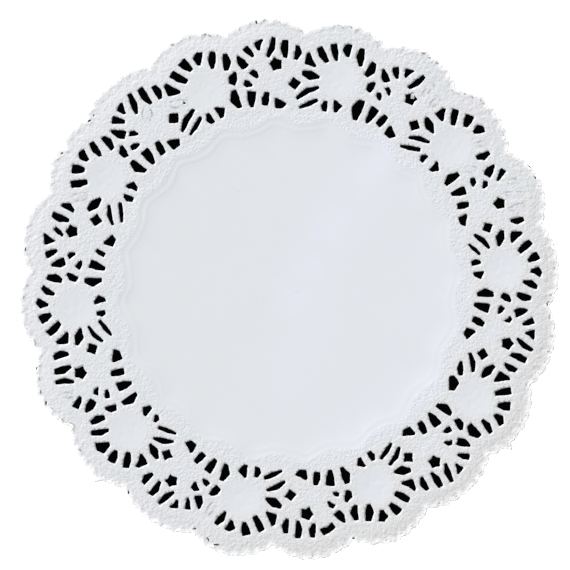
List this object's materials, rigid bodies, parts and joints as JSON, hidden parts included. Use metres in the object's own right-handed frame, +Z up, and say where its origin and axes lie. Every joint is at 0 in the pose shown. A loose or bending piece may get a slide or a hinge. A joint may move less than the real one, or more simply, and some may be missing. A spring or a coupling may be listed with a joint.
{
  "type": "paper lace doily",
  "caption": "Round white paper lace doily: a flat die-cut and embossed sheet with a plain centre, an openwork ring of rosettes and clusters, and a scalloped pearl edge.",
  "frame": {"origin": "middle of the lace pattern, on the face that the doily rests on", "axes": "+Z up, out of the embossed face; +X and +Y in the sheet, as the picture shows it, +X to the right and +Y up the picture"},
  "size_m": [0.3004, 0.3018, 0.0012],
  "materials": {
    "paper": "matte white embossed paper"
  },
  "bodies": {
    "root": {"doily": "paper"}
  },
  "joints": []
}
